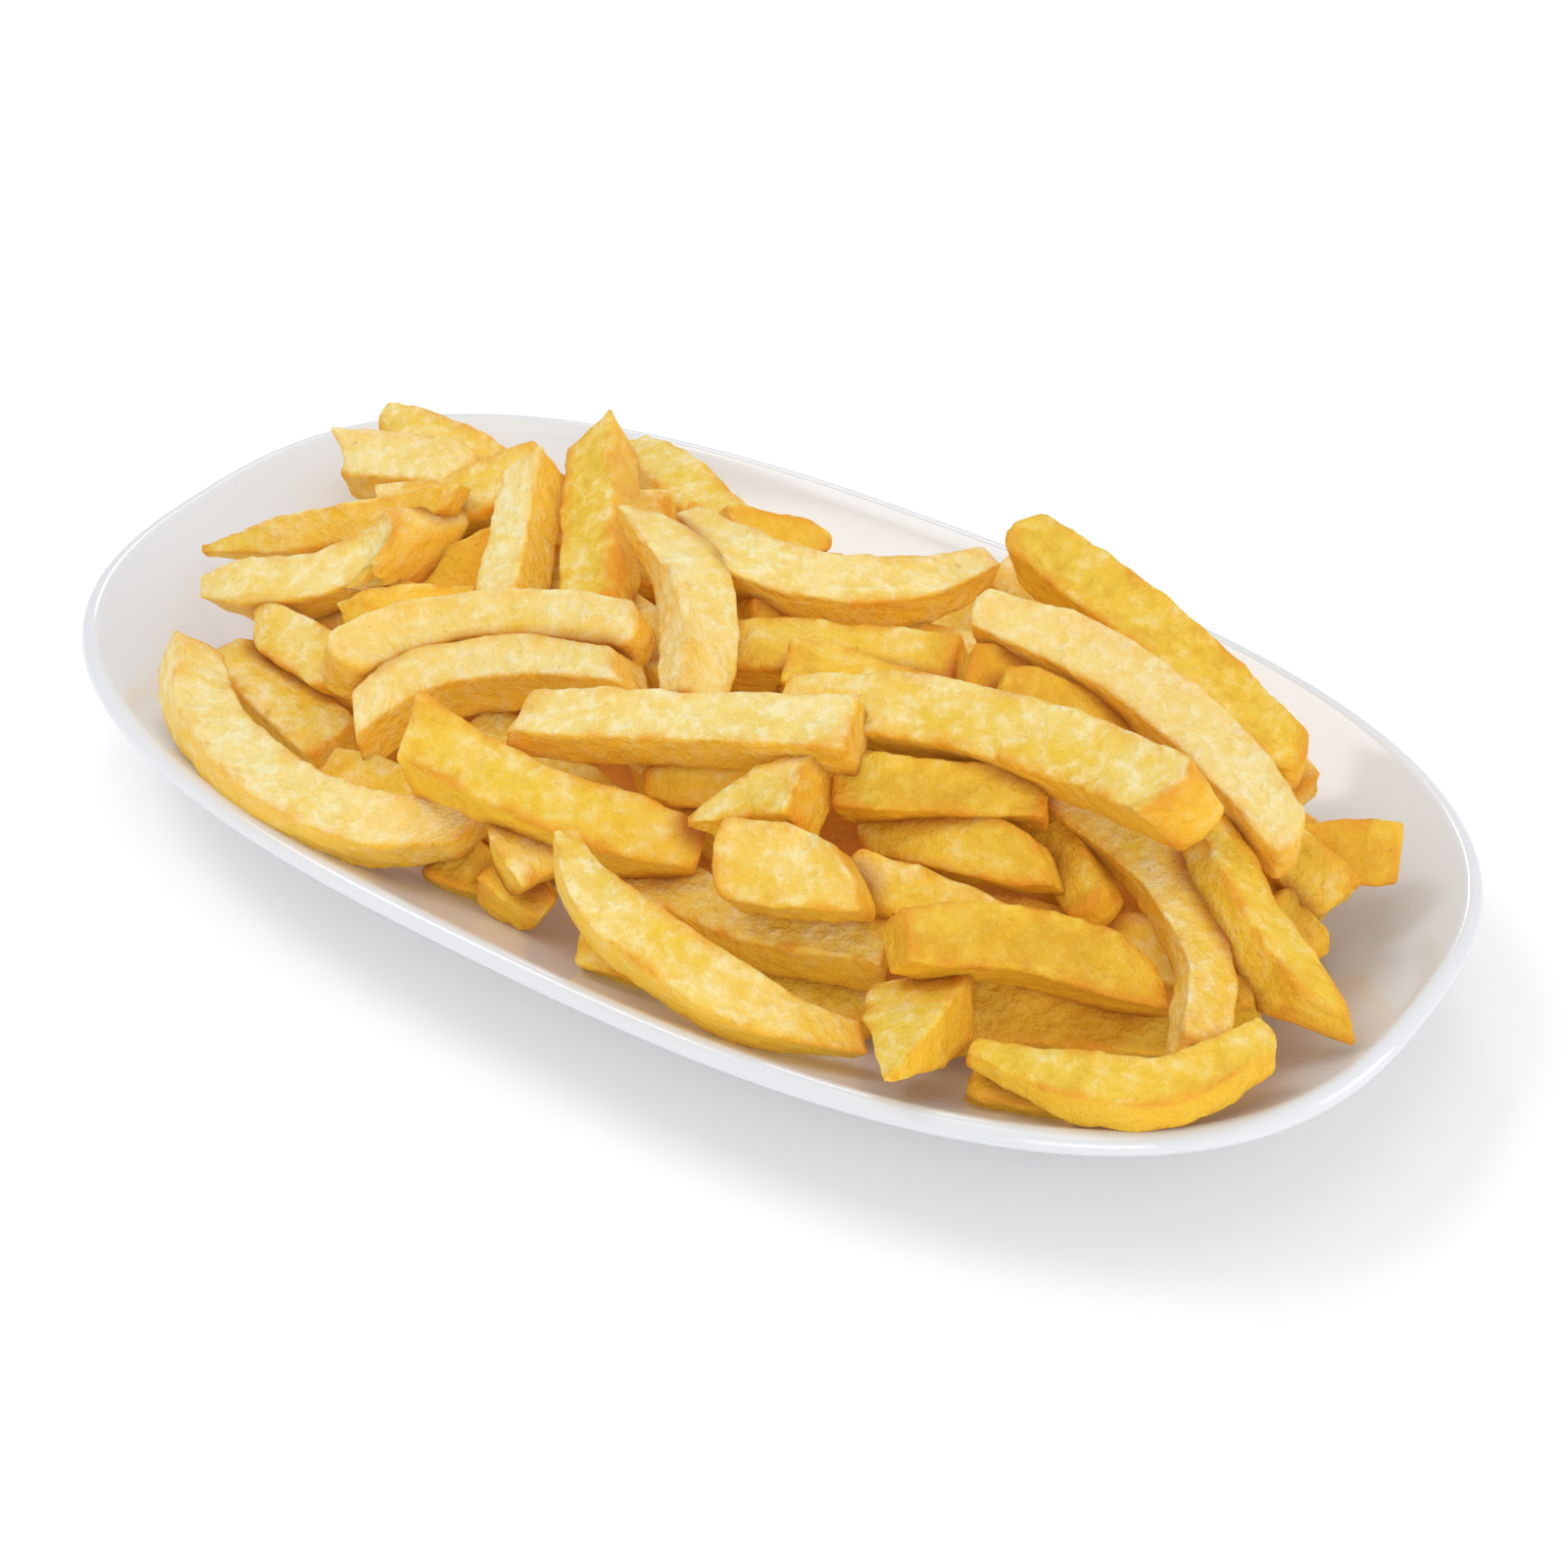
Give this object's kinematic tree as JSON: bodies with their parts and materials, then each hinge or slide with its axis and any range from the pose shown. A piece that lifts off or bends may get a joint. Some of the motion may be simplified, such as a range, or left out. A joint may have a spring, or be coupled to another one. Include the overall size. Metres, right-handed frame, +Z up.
{
  "type": "french fries portion",
  "caption": "Heap of thick-cut golden french fries on an oval white glazed porcelain dish with a sloping wall, a rounded rim and a foot ring.",
  "frame": {"origin": "on the table under the middle of the dish's foot ring", "axes": "+X along the dish's length, +Y across it towards the back of the picture's view, +Z up"},
  "size_m": [0.26, 0.148, 0.0609],
  "materials": {
    "porcelain": "white gloss glaze",
    "potato": "fried potato, golden with paler granular faces"
  },
  "bodies": {
    "root": {"plate": "porcelain", "fries": "potato"}
  },
  "joints": []
}
